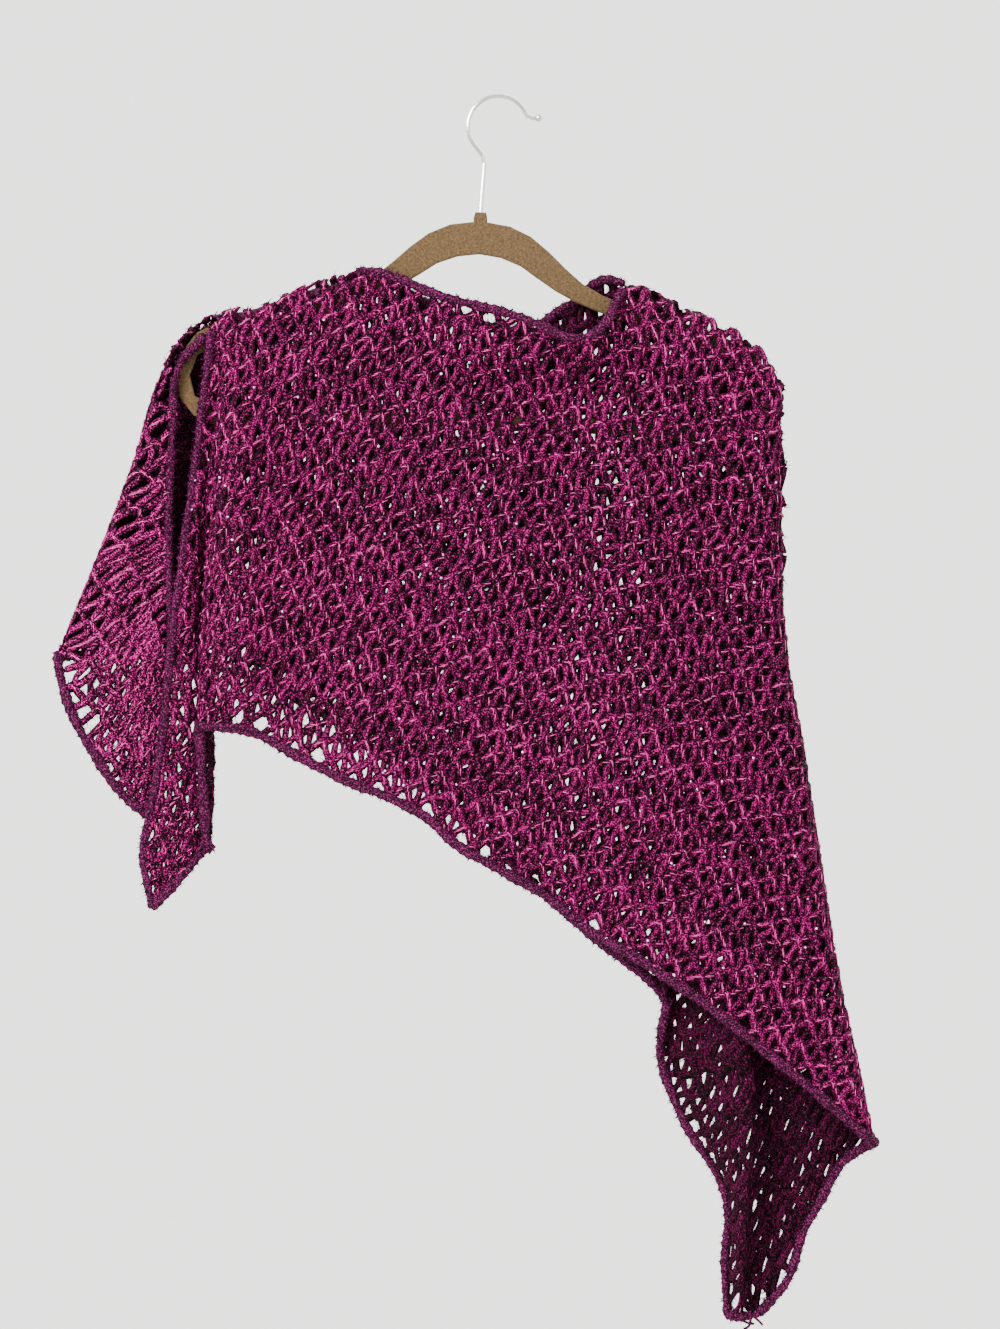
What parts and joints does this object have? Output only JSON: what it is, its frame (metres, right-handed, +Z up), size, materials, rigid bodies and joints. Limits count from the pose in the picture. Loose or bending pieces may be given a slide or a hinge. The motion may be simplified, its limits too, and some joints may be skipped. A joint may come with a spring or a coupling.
{
  "type": "knitted mesh poncho on a clothes hanger",
  "caption": "Asymmetric open-mesh knitted poncho, a folded strip with a soft neckline, slanting hem and side lobe, hanging on a flocked hanger with a wire hook.",
  "frame": {"origin": "inside top of the hook, where a rail or wall hook carries it", "axes": "+Z up, -Y the front of the garment, +X to the viewer's right when looking at the front"},
  "size_m": [0.5923, 0.0468, 0.8851],
  "materials": {
    "yarn": "plum marled yarn with a metallic thread, open mesh",
    "flock": "tan flocking over moulded plastic",
    "wire": "polished"
  },
  "bodies": {
    "root": {"front_pleat": "yarn", "front_yoke": "yarn", "front_panel": "yarn", "back_yoke": "yarn", "back_panel": "yarn", "side_lobe": "yarn", "corner_tail": "yarn", "hanger_body": "flock", "hanger_hook": "wire"}
  },
  "joints": []
}
